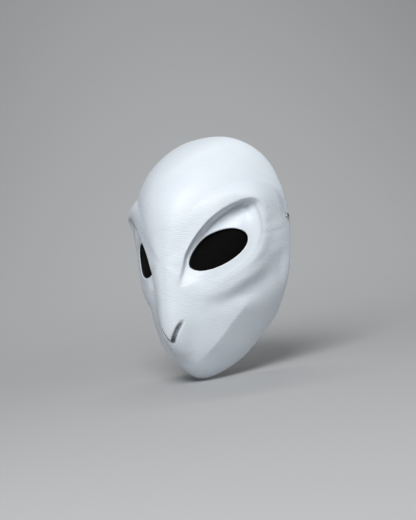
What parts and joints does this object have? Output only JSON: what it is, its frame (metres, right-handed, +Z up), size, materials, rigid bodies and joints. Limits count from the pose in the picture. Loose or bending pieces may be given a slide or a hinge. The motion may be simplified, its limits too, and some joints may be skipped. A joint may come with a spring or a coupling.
{
  "type": "full-face costume mask",
  "caption": "White full-face creature mask with a smooth domed crown, slanted gauze-backed eye holes and a short hooked beak, with foam pads and an elastic head strap.",
  "frame": {"origin": "on the plane of the flat rear rim, on the centre line, at eye height", "axes": "+Z up through the crown, -Y out through the face, +X towards the side that is on the right when the face is looked at"},
  "size_m": [0.2004, 0.1506, 0.2623],
  "materials": {
    "white_lacquer": "satin white lacquer, hand brushed",
    "black_gauze": "matt black open gauze",
    "foam": "cloth-faced charcoal foam",
    "nickel": "nickel plated, bright",
    "elastic_webbing": "woven black elastic",
    "black_acetal": "moulded, satin"
  },
  "bodies": {
    "mask": {"mask_shell": "white_lacquer", "eye_screen_left": "black_gauze", "eye_screen_right": "black_gauze", "cheek_pad_left": "foam", "cheek_pad_right": "foam", "brow_pad": "foam", "chin_pad": "foam", "strap_rivet_left": "nickel", "strap_rivet_right": "nickel", "rivet_washer_left": "nickel", "rivet_washer_right": "nickel"},
    "strap": {"head_strap": "elastic_webbing"},
    "slider": {"strap_slider": "black_acetal"}
  },
  "joints": [
    {"name": "strap_swing", "type": "hinge", "parent": "mask", "child": "strap", "pos_m": [0, -0.0055, 0.0198], "axis": [1, 0, 0], "range_deg": [-50, 80]},
    {"name": "slider_travel", "type": "slide", "parent": "strap", "child": "slider", "axis": [1, 0, 0], "range_m": [-0.026, 0.026]}
  ]
}
